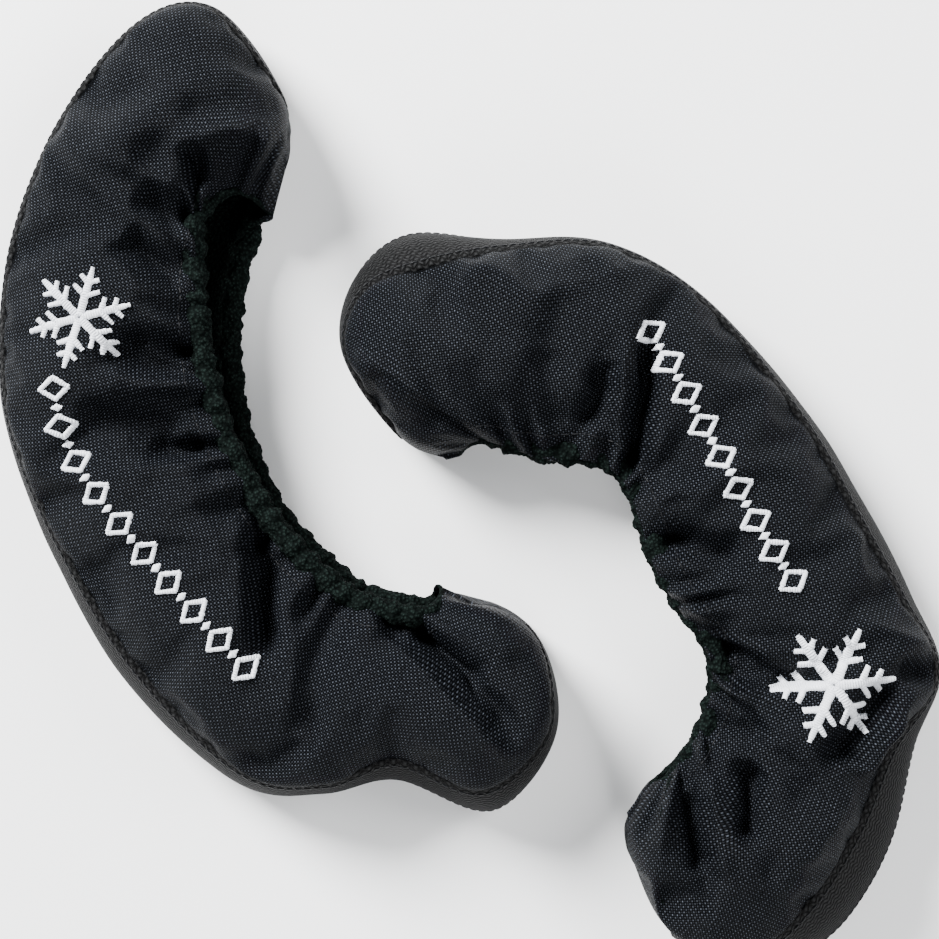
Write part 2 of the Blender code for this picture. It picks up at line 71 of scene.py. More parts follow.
# Each spoke runs from the outer edge (x, y) to the middle of the mouth (x, y); then how far the wear
# strip leans in over the top, and how far the lower lip reaches past the upper one.
# "bend_at" is the place of the joint, counted in spokes. "tuck" is how far the nylon's edge lies from
# the cuff's middle, and "mouth_back" how far both lips lie back from the spokes' ends. "strip_from" is
# where the wear strip starts. "grain" and the emblem's last number are angles in radians.
# A fold is a line over the upper panel, with how high it stands (or how deep it sinks) and its width.
GUARDS = {
    "guard_a": {
        "spokes": (
            (-61.5, 104.0, -66.5, 85.0, 0, 1),
            (-64.0, 126.0, -76.5, 87.5, 0, 10),
            (-86.0, 153.5, -79.5, 82.0, 0, 17),
            (-111.5, 147.5, -81.5, 73.0, 0, 14),
            (-138.0, 113.0, -82.5, 60.0, 0, 11),
            (-153.0, 72.0, -82.3, 45.0, 0, 8),
            (-156.5, 34.0, -80.5, 30.0, 1, 6),
            (-153.0, 6.0, -76.0, 13.0, 3, 4),
            (-140.0, -30.5, -67.0, -7.0, 6, 2),
            (-116.0, -72.5, -54.0, -24.0, 8, 2),
            (-79.0, -105.0, -41.0, -35.5, 6, 2),
            (-50.0, -108.0, -33.5, -40.0, 4, 2),
            (-25.0, -104.5, -27.5, -41.5, 8, 2),
            (8.0, -115.0, -21.0, -43.0, 10, 2),
            (28.0, -88.0, -15.5, -43.5, 3, 2),
            (21.0, -55.0, -12.0, -42.0, 0, 2),
            (-4.0, -41.0, -11.0, -38.0, 0, 2),
        ),
        "bend_at": 6.8,
        "tuck": -1.2,
        "mouth_back": 3.2,
        "cuff_down": 0.6,
        "strip_from": 0.9,
        "grain": 0.62,
        "emblem": (-127.0, 50.0, 17.0, 0.25),
        "row": ((-136.0, 33.0), (-131.0, 8.0), (-109.0, -23.0), (-69.0, -68.0)),
        "marks": 10,
        "folds": (
            (((-112, 97), (-100, 108), (-90, 117), (-78, 119), (-68, 113)), -6, 4),
            (((-100, 105), (-91, 111), (-80, 113), (-71, 110), (-63, 105)), 6, 4),
            (((-92.5, 106), (-90, 100), (-89, 93)), -10, 2.6),
            (((-108, 92), (-98, 84), (-90, 84)), -8, 3.5),
            (((-114, 102), (-104, 96), (-94, 94)), 4, 4),
            (((-114, 78), (-104, 69), (-93, 64)), -8, 4),
            (((-118, 70), (-108, 60), (-95, 56)), 4, 5),
            (((-114, 46), (-108, 37), (-100, 36), (-91, 41)), -8, 3.5),
            (((-118, 33), (-104, 29), (-91, 30)), 5, 5),
            (((-128, 21), (-110, 17), (-94, 13)), -7, 4.5),
            (((-104, 9), (-95, 7), (-87, 9)), -9, 3),
            (((-110, 0), (-98, 1), (-86, 0)), 4.5, 5),
            (((-92, -6), (-85, -18), (-80, -34)), 4, 7),
            (((-146, -4), (-128, -26), (-114, -52)), -4, 6),
            (((-69.5, -12), (-68.5, -32), (-68, -46), (-65, -60)), -13, 2.8),
            (((-75.5, -14), (-75.5, -34), (-74, -56)), 3.5, 5),
            (((-60, -36), (-58, -56), (-60, -80)), 3, 6),
            (((-52, -38), (-49, -56), (-54, -84)), -4, 5),
            (((-40, -40), (-28, -53), (-14, -67), (2, -83), (13, -94)), 6, 4),
            (((-33, -40), (-23, -50), (-9, -62), (6, -77), (15, -88)), -10, 3.6),
            (((-20, -52), (-8, -59), (4, -68)), -6, 4.5),
            (((-14, -46), (2, -52), (14, -62)), 3.5, 6),
            (((-74, -98), (-58, -84), (-52, -70)), -5, 6),
            (((-132, 112), (-118, 118), (-104, 130)), -4, 6),
            (((-148, 70), (-134, 76), (-120, 92)), -4.5, 6),
        ),
    },
    "guard_b": {
        "spokes": (
            (51.5, -114.0, 59.0, -104.5, 0, 0),
            (54.0, -131.0, 65.0, -100.5, 0, 0),
            (67.0, -153.5, 70.0, -94.5, 0, -2),
            (95.0, -167.5, 75.0, -87.0, 9, -3),
            (122.0, -157.0, 78.0, -80.0, 18, -4),
            (141.0, -128.0, 80.0, -73.0, 17, -4),
            (149.5, -95.0, 80.5, -65.0, 11, -4),
            (156.0, -67.0, 78.0, -56.0, 2, -4),
            (147.5, -41.0, 70.5, -46.0, 5, -4),
            (134.0, -13.5, 61.5, -31.0, 6, -4),
            (112.0, 20.0, 56.0, -14.0, 3, -4),
            (78.0, 56.0, 50.0, -1.0, 0, -4),
            (46.0, 75.0, 39.0, 4.5, 0, -3),
            (12.0, 78.0, 26.0, 4.5, 3, -2),
            (-22.0, 81.0, 15.0, 7.0, 13, -1),
            (-40.0, 65.5, 7.5, 9.0, 6, 0),
            (-42.5, 41.0, 2.5, 10.0, 0, 0),
            (-26.0, 14.5, -1.5, 9.0, 0, 0),
            (-9.0, 4.0, -4.5, 5.5, 0, 0),
        ),
        "bend_at": 9.0,
        "tuck": -2.6,
        "mouth_back": 3.0,
        "cuff_down": 3.0,
        "strip_from": 2.0,
        "grain": -0.2,
        "emblem": (117.0, -69.0, 20.0, 0.1),
        "row": ((107.0, -40.0), (93.0, -18.0), (75.0, 15.0), (55.0, 51.0)),
        "marks": 9,
        "folds": (
            (((54, 43), (57, 28), (53, 13), (54, -2)), -14, 3.2),
            (((62, 36), (62, 18), (60, 0)), 4, 5),
            (((39, 35), (42, 27), (37, 14)), -9, 3.2),
            (((47, 40), (49, 26), (46, 8)), 4.5, 4),
            (((22, 40), (24, 26), (26, 13)), -6, 4.5),
            (((-38, 39), (-23, 32), (-7, 20), (5, 11)), 6, 4.5),
            (((-36, 27), (-23, 20), (-10, 11)), -6, 5),
            (((-20, 62), (6, 48), (24, 40), (38, 55)), -4.5, 7),
            (((-6, 72), (20, 56), (42, 62), (54, 66)), 4.5, 7),
            (((61, -20), (72, -25), (86, -28)), -9, 3.5),
            (((60, -8), (74, -6), (88, 2)), 5, 6),
            (((62, -36), (69, -42), (89, -57), (102, -62)), 6, 5),
            (((78, -55), (89, -62), (106, -67)), -10, 3.6),
            (((97, -68), (109, -80)), -6, 5),
            (((82, -68), (94, -78), (104, -92)), 5, 5),
            (((76, -78), (86, -84), (96, -84)), -6, 3.5),
            (((135, -69), (127, -79), (120, -90), (123, -97)), -12, 3.8),
            (((140, -76), (133, -88), (128, -100)), 4, 5),
            (((156, -66), (146, -65), (136, -63)), -7, 3),
            (((152, -58), (138, -54), (122, -48)), 5, 6),
            (((92, -94), (90, -106), (88, -120)), -12, 3.4),
            (((72, -104), (73, -118), (77, -129)), -10, 3),
            (((80, -98), (81, -116), (84, -130)), 5, 4),
            (((61, -139), (70, -138), (80, -138)), -5, 5),
            (((66, -106), (63, -122)), 4, 5),
            (((128, -100), (112, -118), (104, -140)), 4, 8),
            (((112, -98), (102, -112), (96, -134)), -5, 5),
        ),
    },
}


# ---------------------------------------------------------------------------------------------
# Shape of the skin


def smoothstep(x):
    x = min(max(x, 0.0), 1.0)
    return x * x * (3 - 2 * x)


def mix(a, b, share):
    return a + (b - a) * share


def on_curve(points, at):
    """The point and the slope at a place along a Catmull-Rom curve, counted in its points."""
    last = len(points) - 1
    i = min(int(at), last - 1)
    f = at - i
    b, c = points[i], points[i + 1]
    a = points[i - 1] if i else 2 * b - c
    d = points[i + 2] if i + 2 <= last else 2 * c - b
    e1, e2, e3 = c - a, 2 * a - 5 * b + 4 * c - d, 3 * b - a - 3 * c + d
    return b + 0.5 * f * (e1 + f * (e2 + f * e3)), 0.5 * (e1 + f * (2 * e2 + 3 * f * e3))


def across(along):
    """The level direction across the mouth, towards the outer edge."""
    return np.array((along[1], -along[0])) / np.linalg.norm(along)


def lip_at(guard, at, side):
    """The middle of the upper cuff (side 1) or the lower cuff (side -1), seen from above."""
    at = min(max(at, 0.0), guard["last"])
    place, slope = on_curve(guard["points"], at)
    back = guard["mouth_back"] * smoothstep(min(at, guard["last"] - at) / 3.0)
    return place[2:4] + across(slope[2:4]) * (side * place[5] / 2 + back)


def measured(line):
    """The distance along a line of points to each of them."""
    return np.concatenate([[0.0], np.cumsum(np.linalg.norm(np.diff(line, axis=0), axis=1))])


def evenly(line, count):
    """A line of points resampled to a number of evenly spaced ones, and its length."""
    lengths = measured(line)
    places = np.linspace(0, lengths[-1], count)
    even = [np.interp(places, lengths, line[:, k]) for k in range(line.shape[1])]
    return np.stack(even, axis=1), lengths[-1]


class Spoke:
    """One upright section of a guard, from its outer edge to its mouth."""

    CREST, FOOT, FINE = 0.42, 0.14, 60  # shares of the width, then points in the section
    THIN_CUFF = 0.15  # the cuff's fullness at the corners of the mouth
    BULGE = 2.5  # how far the strip swells out in its middle
    # How many spokes from the sleeve's ends each of these takes to come to its full amount
    FULL_CUFF, OPEN_MOUTH, FULL_RISE, FULL_HEIGHT = 3.0, 2.5, 0.8, 0.5
    SEALED = 0.7

    def __init__(self, guard, at):
        place, slope = on_curve(guard["points"], at)
        self.outer, lean = place[0:2], place[4]
        self.tangent = slope[2:4] / np.linalg.norm(slope[2:4])
        self.lip = {k: lip_at(guard, at, k) for k in (1, -1)}
        from_end = min(at, guard["last"] - at)
        self.fullness = mix(self.THIN_CUFF, 1.0, smoothstep(from_end / self.FULL_CUFF))
        self.edge = {}
        for k in (1, -1):
            along_lip = lip_at(guard, at + 0.1, k) - lip_at(guard, at - 0.1, k)
            self.edge[k] = self.lip[k] + across(along_lip) * guard["tuck"] * self.fullness
        self.length = {k: np.linalg.norm(self.edge[k] - self.outer) for k in (1, -1)}
        opening = smoothstep(from_end / self.OPEN_MOUTH)
        closing = smoothstep(from_end - self.SEALED)
        rise = mix(0.4, CORNER_RISE, smoothstep(from_end / self.FULL_RISE))
        height = smoothstep(from_end / self.FULL_HEIGHT)
        self.lip_height = {1: mix(SEAM_MIDDLE + rise, LIP_HIGH, opening),
                           -1: mix(SEAM_MIDDLE - rise, LIP_LOW, opening)}
        self.crest = mix(SEAM_MIDDLE + rise, TOP, smoothstep(self.length[1] / FULL_WIDTH) * height)
        self.foot = mix(SEAM_MIDDLE - rise, FLOOR, smoothstep(self.length[-1] / FOOT_FULL_WIDTH) * height)
        self.high = np.array((mix(0.3, lean + 2.0, closing), mix(SEAM_MIDDLE + 0.2, SEAM_HIGH, closing)))
        self.low = np.array((mix(0.3, 2.5 - 0.1 * lean, closing), mix(SEAM_MIDDLE - 0.2, SEAM_LOW, closing)))
        self.bulge = self.BULGE * closing

    def along(self, share):
        """The level direction inwards: the upper panel's at 1, the lower panel's at 0."""
        level = mix(self.edge[-1] - self.outer, self.edge[1] - self.outer, share)
        return level / np.linalg.norm(level)

    def upper(self):
        out = mix(self.high[0], self.length[1], (np.linspace(0, 1, self.FINE) ** 1.7))
        crest = mix(self.high[0], self.length[1], self.CREST)
        fall = np.clip((crest - out) / (crest - self.high[0]), 0, 1)
        rising = self.high[1] + (self.crest - self.high[1]) * np.sqrt(1 - fall**2)
        past = np.clip((out - crest) / (self.length[1] - crest), 0, 1) ** 1.6
        falling = mix(self.crest, self.lip_height[1], past)
        return np.stack([out, np.where(out < crest, rising, falling)], axis=1)

    def lower(self):
        out = mix(self.low[0], self.length[-1], (np.linspace(0, 1, self.FINE) ** 1.7))
        share = (out - self.low[0]) / (self.length[-1] - self.low[0])
        rise = np.clip(1 - share / self.FOOT, 0, 1)
        height = self.foot + (self.low[1] - self.foot) * (1 - np.sqrt(1 - rise**2))
        lifted = np.clip((share - 0.8) / 0.2, 0, 1)
        height = height + (self.lip_height[-1] - self.foot) * lifted * lifted * (3 - 2 * lifted)
        return np.stack([out, height], axis=1)

    def strip(self):
        b = np.linspace(0, 1, 24)[:, None]
        return mix(self.high, self.low, b) - np.hstack([self.bulge * np.sin(np.pi * b), 0 * b])

    def rows(self):
        """The whole section from the upper lip round to the lower lip: points, and flat cloth places."""
        points, flat = [], []
        for part, count, share in ((self.upper()[::-1], UPPER_ROWS, 1.0), (self.strip(), STRIP_ROWS, None),
                                   (self.lower(), LOWER_ROWS, 0.0)):
            even, length = evenly(part, count + 1)
            if points:
                even = even[1:]
            for i, (out, height) in enumerate(even):
                k = (1 - (i + 1) / count) if share is None else share
                level = self.outer + self.along(k) * out
                points.append((*level, height))
                if share == 1.0:
                    flat.append(self.edge[1] - self.along(1) * length * i / count)
                elif share is None:
                    flat.append(np.array((0.0, length * (i + 1) / count)))
                else:
                    flat.append(self.edge[-1] - self.along(0) * length * (1 - (i + 1) / count))
        return points, flat


def near_line(points, line):
    """How far points are from a line, seen from above, and how far along it the nearest place is."""
    best, share = np.full(len(points), 1e9), np.zeros(len(points))
    lengths = np.linalg.norm(np.diff(line, axis=0), axis=1)
    start = 0.0
    for a, b, length in zip(line, line[1:], lengths):
        t = np.clip(((points - a) @ (b - a)) / length**2, 0, 1)
        distance = np.linalg.norm(points - (a + t[:, None] * (b - a)), axis=1)
        closer = distance < best
        best[closer], share[closer] = distance[closer], ((start + t * length) / lengths.sum())[closer]
        start += length
    return best, share


def build_skin(guard):
    """The skin's grid of points with its listed folds, its flat cloth places and which points are held."""
    stations = np.linspace(0, guard["last"], int(guard["last"]) * PER_SPOKE + 1)
    spokes = [Spoke(guard, at) for at in stations]
    sections = [spoke.rows() for spoke in spokes]
    grid = np.array([points for points, _ in sections])
    flat = np.array([places for _, places in sections])
    outline = np.array([spoke.outer for spoke in spokes])
    flat[:, UPPER_ROWS + 1:UPPER_ROWS + 1 + STRIP_ROWS, 0] = measured(outline)[:, None]
    along_mouth = measured(np.array([spoke.lip[1] for spoke in spokes]))

    upper = grid[:, :UPPER_ROWS + 1].reshape(-1, 3)
    row = np.tile(np.arange(UPPER_ROWS + 1) / UPPER_ROWS, len(spokes))
    ease = np.clip(np.minimum(row / 0.05, (1 - row) / 0.12), 0, 1)
    short = np.repeat([smoothstep((spoke.length[1] - 18) / 25) for spoke in spokes], UPPER_ROWS + 1)
    for line, height, width in guard["folds"]:
        distance, share = near_line(upper[:, :2], np.array(line))
        fade = np.clip(np.minimum(share, 1 - share) / 0.2 + 0.25, 0, 1)
        shape = np.exp(-1.1 * distance / width) if height > 0 else np.exp(-0.5 * (distance / width) ** 2)
        upper[:, 2] += height * shape * fade * ease * short
    puff = np.array([noise.noise(Vector((*p[:2], guard["seed"])) / PUFF_APART) for p in upper])
    ripple = np.array([noise.noise(Vector((*p[:2], guard["seed"])) / RIPPLE_APART) for p in upper])
    upper[:, 2] += (PUFF * puff + RIPPLE * ripple) * ease * short
    grid[:, :UPPER_ROWS + 1] = upper.reshape(len(spokes), UPPER_ROWS + 1, 3)

    for i, spoke in enumerate(spokes):
        uneven = 0.9 * noise.noise(Vector((along_mouth[i] / 17.0, guard["seed"], 0)))
        beat = along_mouth[i] / GATHERS_APART + uneven
        for k, share in enumerate(np.arange(UPPER_ROWS + 1) / UPPER_ROWS):
            reach = share * spoke.length[1]
            gather = math.exp(-(((reach - UPPER_GATHER_AT) / UPPER_GATHER_REACH) ** 2))
            gather *= smoothstep(spoke.length[1] / 40)
            grid[i, k, 2] += UPPER_GATHER * gather * math.sin(2 * math.pi * beat)
        for k, share in enumerate(np.linspace(0, 1, LOWER_ROWS)):
            reach = (1 - share) * spoke.length[-1]
            gather = math.exp(-(((reach - LOWER_GATHER_AT) / LOWER_GATHER_REACH) ** 2))
            gather *= smoothstep(spoke.length[-1] / 40)
            lift = gather * (1 + math.sin(2 * math.pi * beat + 1.3))
            grid[i, UPPER_ROWS + 1 + STRIP_ROWS + k, 2] += LOWER_GATHER * lift

    held = np.zeros(grid.shape[:2])
    held[:, UPPER_ROWS:UPPER_ROWS + 1 + STRIP_ROWS] = 1
    held[:, 0] = held[:, -1] = 1
    held[:, 1] = held[:, -2] = 0.5
    held[0] = held[-1] = 1
    held[1] = held[-2] = 0.7
    held[:, UPPER_ROWS + 1 + STRIP_ROWS:] = np.maximum(held[:, UPPER_ROWS + 1 + STRIP_ROWS:], 0.15)
    return grid, flat, held, spokes


def mesh_of(name, grid, flat=None, closed=(False, False)):
    """A sheet of quads through a grid of points in millimetres, with its flat places as a UV map."""
    count, across_count = grid.shape[:2]
    mesh = bpy.data.meshes.new(name)
    index = np.arange(count * across_count).reshape(count, across_count)
    near = index if closed[0] else index[:-1]
    far = np.roll(index, -1, axis=0) if closed[0] else index[1:]
    faces = []
    for here, there in zip(near.tolist(), far.tolist()):
        for j in range(across_count if closed[1] else across_count - 1):
            k = (j + 1) % across_count
            faces.append((here[j], here[k], there[k], there[j]))
    mesh.from_pydata([tuple(p) for p in grid.reshape(-1, 3) * MM], [], faces)
    if flat is not None:
        layer = mesh.uv_layers.new(name="cloth")
        places = flat.reshape(-1, 2) * MM
        corners = np.zeros(len(mesh.loops), int)
        mesh.loops.foreach_get("vertex_index", corners)
        layer.data.foreach_set("uv", places[corners].ravel())
    mesh.update()
    mesh.shade_smooth()
    return mesh


def new_object(name, mesh):
    piece = bpy.data.objects.new(name, mesh)
    bpy.context.scene.collection.objects.link(piece)
    return piece


def wrinkle(grid, held):
    """The grid after its cloth has grown a little between the points that are held, which wrinkles it."""
    piece = new_object("cloth_at_work", mesh_of("cloth_at_work", grid * CLOTH_ENLARGED))
    group = piece.vertex_groups.new(name="held")
    for i, weight in enumerate(held.ravel()):
        if weight:
            group.add([i], float(weight), "REPLACE")
    cloth = piece.modifiers.new("cloth", "CLOTH")
    rules = cloth.settings
    rules.quality = 6
    rules.mass = 0.4
    rules.air_damping = 3
    rules.tension_stiffness = rules.compression_stiffness = 20
    rules.shear_stiffness = 8
    rules.bending_stiffness = 1.2
    rules.vertex_group_mass = "held"
    rules.pin_stiffness = 1
    rules.shrink_min = rules.shrink_max = -CLOTH_GROWTH
    rules.use_pressure = True
    rules.uniform_pressure_force = 1.0
    rules.effector_weights.gravity = 0
    cloth.collision_settings.use_collision = False
    cloth.point_cache.frame_start, cloth.point_cache.frame_end = 1, CLOTH_FRAMES
    scene = bpy.context.scene
    for moment in range(1, CLOTH_FRAMES + 1):
        scene.frame_set(moment)
    evaluated = piece.evaluated_get(bpy.context.evaluated_depsgraph_get())
    moved = np.zeros(len(evaluated.data.vertices) * 3)
    evaluated.data.vertices.foreach_get("co", moved)
    scene.frame_set(1)
    bpy.data.objects.remove(piece)
    shift = moved.reshape(grid.shape) / MM / CLOTH_ENLARGED - grid
    size = np.linalg.norm(shift, axis=2, keepdims=True)
    return grid + shift * np.minimum(1, CLOTH_SHIFT_MOST / np.maximum(size, 1e-6))


def smooth_grid(grid, times):
    """Evens out the finest ripples, leaving the grid's border alone."""
    for _ in range(times):
        inner = (grid[:-2, 1:-1] + grid[2:, 1:-1] + grid[1:-1, :-2] + grid[1:-1, 2:]) / 4
        grid[1:-1, 1:-1] = mix(grid[1:-1, 1:-1], inner, 0.5)
    return grid


def normals_of(grid):
    """The outward direction at each point of the grid."""
    du, dv = np.gradient(grid, axis=0), np.gradient(grid, axis=1)
    normal = np.cross(dv, du)
    return normal / np.maximum(np.linalg.norm(normal, axis=2, keepdims=True), 1e-9)


def refine(array):
    """A grid with more points in between, on smooth curves through the ones it has."""
    for axis in (0, 1):
        count = array.shape[axis]
        places = np.linspace(0, count - 1, (count - 1) * REFINED + 1)
        i = np.minimum(places.astype(int), count - 2)
        f = (places - i).reshape([-1 if k == axis else 1 for k in range(array.ndim)])
        a, b, c, d = (np.take(array, np.clip(i + k, 0, count - 1), axis=axis) for k in (-1, 0, 1, 2))
        array = b + 0.5 * f * ((c - a) + f * ((2 * a - 5 * b + 4 * c - d) + f * (3 * b - a - 3 * c + d)))
    return array


# ---------------------------------------------------------------------------------------------
# Materials


class Nodes:
    """Short ways to wire up a material."""

    def __init__(self, name):
        self.material = bpy.data.materials.new(name)
        self.material.use_nodes = True
        self.tree = self.material.node_tree
        self.shader = self.tree.nodes["Principled BSDF"]

    def node(self, kind, **settings):
        made = self.tree.nodes.new(kind)
        for key, value in settings.items():
            setattr(made, key, value)
        return made

    def link(self, start, end):
        self.tree.links.new(start, end)

    def math(self, operation, a, b=None, c=None):
        made = self.node("ShaderNodeMath", operation=operation)
        for socket, value in zip(made.inputs, (a, b, c)):
            if value is None:
                continue
            if isinstance(value, (int, float)):
                socket.default_value = value
            else:
                self.link(value, socket)
        return made.outputs[0]

    def plus(self, a, b):
        return self.math("ADD", a, b)

    def times(self, a, b):
        return self.math("MULTIPLY", a, b)

    def ridges(self, x):
        """Round ridges, one for each whole step of x."""
        return self.math("ABSOLUTE", self.math("SINE", self.times(x, math.pi)))

    def blend(self, share, a, b):
        made = self.node("ShaderNodeMix", data_type="RGBA")
        self.link(share, made.inputs["Factor"])
        for socket, value in ((made.inputs[6], a), (made.inputs[7], b)):
            if isinstance(value, tuple):
                socket.default_value = (*value, 1)
            else:
                self.link(value, socket)
        return made.outputs[2]

    def place(self, turn=0.0):
        """U and V in metres of cloth, turned to the weave's grain."""
        mapping = self.node("ShaderNodeMapping")
        mapping.inputs["Rotation"].default_value = (0, 0, turn)
        self.link(self.node("ShaderNodeUVMap", uv_map="cloth").outputs[0], mapping.inputs["Vector"])
        split = self.node("ShaderNodeSeparateXYZ")
        self.link(mapping.outputs[0], split.inputs[0])
        return mapping.outputs[0], split.outputs[0], split.outputs[1]

    def speckle(self, size, detail):
        """Soft noise, its size in millimetres."""
        made = self.node("ShaderNodeTexNoise")
        made.inputs["Scale"].default_value = 1 / (size * MM)
        made.inputs["Detail"].default_value = detail
        self.link(self.node("ShaderNodeTexCoord").outputs["Object"], made.inputs["Vector"])
        return made.outputs["Fac"]

    def bump(self, height, distance, strength=1.0, below=None):
        made = self.node("ShaderNodeBump")
        made.inputs["Distance"].default_value = distance * MM
        made.inputs["Strength"].default_value = strength
        self.link(height, made.inputs["Height"])
        if below is not None:
            self.link(below, made.inputs["Normal"])
        return made.outputs[0]

    def finish(self, colour, roughness, normal=None, gloss=0.5, sheen=0.0):
        self.link(colour, self.shader.inputs["Base Color"])
        if isinstance(roughness, (int, float)):
            self.shader.inputs["Roughness"].default_value = roughness
        else:
            self.link(roughness, self.shader.inputs["Roughness"])
        if normal is not None:
            self.link(normal, self.shader.inputs["Normal"])
        self.shader.inputs["Sheen Weight"].default_value = sheen
        self.shader.inputs["Sheen Roughness"].default_value = 0.3
        self.shader.inputs["Specular IOR Level"].default_value = gloss
        return self.material


def yarn(nodes, across_it, along_it, dip):
    """The height of a round yarn that dips at its ends, where it goes under the next one."""
    arched = nodes.plus(nodes.times(along_it, dip), 1 - dip)
    return nodes.times(nodes.math("POWER", across_it, 0.7), arched)


def woven(nodes, u, v, pitch):
    """A plain weave's height, and which yarn is on top: warp is 1 and weft is 0."""
    a, b = (nodes.math("DIVIDE", place, pitch * MM) for place in (u, v))
    cell = nodes.plus(nodes.math("FLOOR", a), nodes.math("FLOOR", b))
    warp_up = nodes.math("COMPARE", nodes.math("PINGPONG", cell, 1), 1, 0.5)
    round_a, round_b = nodes.ridges(a), nodes.ridges(b)
    warp = nodes.times(yarn(nodes, round_a, round_b, 0.6), warp_up)
    weft = nodes.times(yarn(nodes, round_b, round_a, 0.6), nodes.math("SUBTRACT", 1, warp_up))
    return nodes.plus(warp, weft), warp_up


def woven_nylon(name, grain):
    """Coarse pack cloth: black yarns, with a bluish highlight painted on the crowns of their floats."""
    nodes = Nodes(name)
    where, u, v = nodes.place(grain)
    height, warp_up = woven(nodes, u, v, WEAVE_PITCH)
    fibres = nodes.node("ShaderNodeTexNoise")
    fibres.inputs["Scale"].default_value = 1100
    fibres.inputs["Detail"].default_value = 3
    nodes.link(where, fibres.inputs["Vector"])
    # Painted highlight: the crowns of the floats are coloured lighter and bluish, warp floats more than weft
    # ones, in flecks set by the fibre noise.
    side = nodes.plus(nodes.times(warp_up, 0.8), 0.2)
    crown = nodes.times(nodes.math("POWER", height, 4.0), side)
    glint = nodes.times(nodes.math("SUBTRACT", fibres.outputs["Fac"], 0.28), 2.4)
    painted_highlight = nodes.times(crown, nodes.math("MAXIMUM", glint, 0.15))
    ground = nodes.blend(nodes.speckle(35, 3), (0.0002, 0.0003, 0.0005), (0.0005, 0.0006, 0.0010))
    colour = nodes.blend(painted_highlight, ground, (0.066, 0.075, 0.092))
    normal = nodes.bump(height, 0.35, 1.0, nodes.bump(fibres.outputs["Fac"], 0.05, 0.6))
    roughness = nodes.plus(nodes.times(fibres.outputs["Fac"], 0.2), 0.42)
    return nodes.finish(colour, roughness, normal, gloss=0.04)


def ribbed_webbing(name):
    """Coarse webbing: wavy rows of loops along its length."""
    nodes = Nodes(name)
    _, u, v = nodes.place()
    wave_length, rib_pitch, loop_pitch = 4.6 * MM, 1.9 * MM, 2.3 * MM
    turn = nodes.math("DIVIDE", nodes.times(u, 2 * math.pi), wave_length)
    wave = nodes.times(nodes.math("SINE", turn), 0.30)
    row = nodes.plus(nodes.math("DIVIDE", v, rib_pitch), wave)
    every = nodes.times(nodes.math("FLOOR", row), 0.5)
    loop = nodes.ridges(nodes.plus(nodes.math("DIVIDE", u, loop_pitch), every))
    height = yarn(nodes, nodes.ridges(row), loop, 0.7)
    fuzz = nodes.speckle(0.5, 4)
    ground = nodes.blend(nodes.speckle(25, 3), (0.0003, 0.0003, 0.0004), (0.0007, 0.0007, 0.0008))
    # Painted highlight: the tops of the loops are coloured lighter, in flecks set by the fuzz noise.
    painted_highlight = nodes.times(nodes.math("POWER", height, 3.0), nodes.plus(nodes.times(fuzz, 1.2), 0.2))
    colour = nodes.blend(painted_highlight, ground, (0.0150, 0.0155, 0.0160))
    normal = nodes.bump(height, 0.5, 1.0, nodes.bump(fuzz, 0.1, 0.6))
    return nodes.finish(colour, 0.6, normal, gloss=0.04)


def terry(name, painted_light_level=1.0):
    """Looped cotton pile, nearly black with a green cast."""
    nodes = Nodes(name)
    loops = nodes.node("ShaderNodeTexVoronoi", feature="F1")
    loops.inputs["Scale"].default_value = 1 / (1.1 * MM)
    nodes.link(nodes.node("ShaderNodeTexCoord").outputs["Object"], loops.inputs["Vector"])
    crown = nodes.math("MAXIMUM", nodes.math("SUBTRACT", 1, loops.outputs["Distance"]), 0.0)
    fuzz = nodes.speckle(0.35, 3)
    # The last of these shades is a painted highlight, coloured onto the crowns of the loops.
    shades = (0.0005, 0.0009, 0.0008), (0.0014, 0.0024, 0.0021), (0.0110, 0.0185, 0.0160)
    # Every shade is scaled by the level given after the name; below 1 this paints shade, as on the lining
    # inside the mouth.
    dark, mild, painted_highlight = (tuple(painted_light_level * c for c in shade) for shade in shades)
    ground = nodes.blend(nodes.speckle(9, 3), dark, mild)
    colour = nodes.blend(nodes.math("POWER", crown, 3.0), ground, painted_highlight)
    normal = nodes.bump(crown, 0.7, 1.0, nodes.bump(fuzz, 0.2, 0.8))
    return nodes.finish(colour, 0.95, normal, gloss=0.03)


def satin_thread(name):
    """White embroidery thread with a soft sheen."""
    nodes = Nodes(name)
    fibres = nodes.speckle(0.5, 3)
    wide = nodes.speckle(6, 2)
    shade = nodes.plus(nodes.times(fibres, 0.5), nodes.times(wide, 0.5))
    colour = nodes.blend(shade, (0.44, 0.46, 0.50), (0.74, 0.76, 0.80))
    return nodes.finish(colour, 0.38, nodes.bump(fibres, 0.06, 0.7), gloss=0.55, sheen=0.25)


def dark_thread(name):
    """Dark sewing thread for the topstitching."""
    nodes = Nodes(name)
    fibres = nodes.speckle(0.4, 2)
    colour = nodes.blend(fibres, (0.0012, 0.0014, 0.0018), (0.006, 0.0065, 0.008))
    return nodes.finish(colour, 0.45, nodes.bump(fibres, 0.05, 0.6), gloss=0.12)


def pale_floor(name):
    """A matt, nearly white surface."""
    nodes = Nodes(name)
    colour = nodes.blend(nodes.speckle(300, 2), (0.86, 0.865, 0.87), (0.88, 0.885, 0.89))
    return nodes.finish(colour, 0.6, gloss=0.25)


# ---------------------------------------------------------------------------------------------
# Pieces


def solid_sheet(piece, thickness, offset):
    """Gives a sheet its thickness, as a mesh with no modifier left."""
    solidify = piece.modifiers.new("thickness", "SOLIDIFY")
    solidify.thickness = thickness * MM
    solidify.offset = offset
    evaluated = piece.evaluated_get(bpy.context.evaluated_depsgraph_get())
    piece.modifiers.clear()
    mesh = bpy.data.meshes.new_from_object(evaluated)
    old = piece.data
    piece.data = mesh
    bpy.data.meshes.remove(old)
    return piece


